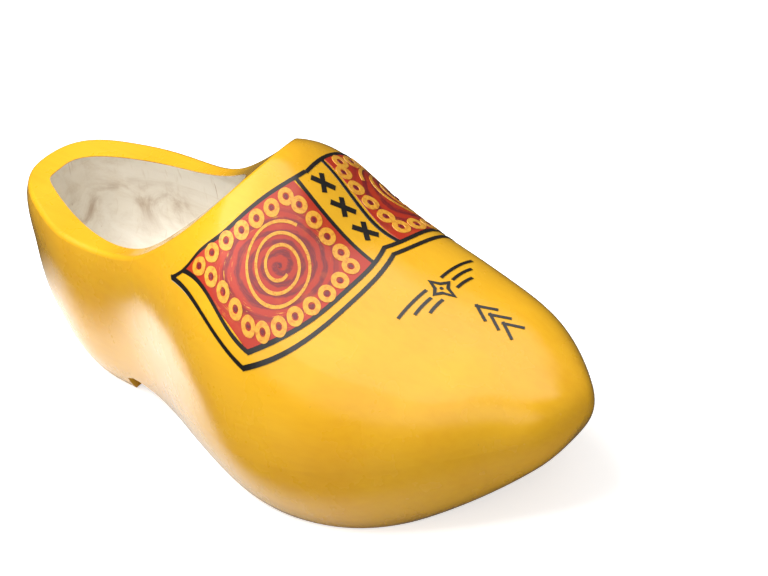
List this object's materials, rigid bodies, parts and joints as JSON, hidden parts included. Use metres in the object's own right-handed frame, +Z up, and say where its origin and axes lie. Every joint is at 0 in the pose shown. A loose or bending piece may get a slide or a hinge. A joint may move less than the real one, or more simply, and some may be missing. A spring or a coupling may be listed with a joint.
{
  "type": "wooden clog",
  "caption": "Carved one-piece wooden clog in glossy yellow lacquer, with a bare foot hollow, an upturned toe and painted folk ornament.",
  "frame": {"origin": "centre of the bounding box in plan, on the ground plane under the treads", "axes": "+Z up; +Y towards the heel and -Y towards the toe tip; -X the outer side of the right foot, +X the inner side"},
  "size_m": [0.1272, 0.3, 0.1296],
  "materials": {
    "bare_wood": "bare, gouge-cut, lightly stained by wear",
    "yellow_lacquer": "high-gloss brushed lacquer",
    "red_paint": "glossy hand-brushed paint",
    "golden_paint": "glossy hand-brushed paint",
    "maroon_paint": "glossy hand-brushed paint",
    "black_paint": "glossy hand-brushed paint"
  },
  "bodies": {
    "root": {"wood_body": "bare_wood", "lacquer_coat": "yellow_lacquer", "line_work_outer": "black_paint", "line_work_inner": "black_paint", "red_panel_outer": "red_paint", "red_panel_inner": "red_paint", "ring_dots_outer": "maroon_paint", "ring_dots_inner": "maroon_paint", "ring_border_outer": "golden_paint", "ring_border_inner": "golden_paint", "spiral_outer": "golden_paint", "spiral_inner": "golden_paint", "strip_crosses": "black_paint", "star_outline": "black_paint", "star_dot": "black_paint", "star_rays": "black_paint", "toe_chevrons": "black_paint"}
  },
  "joints": []
}
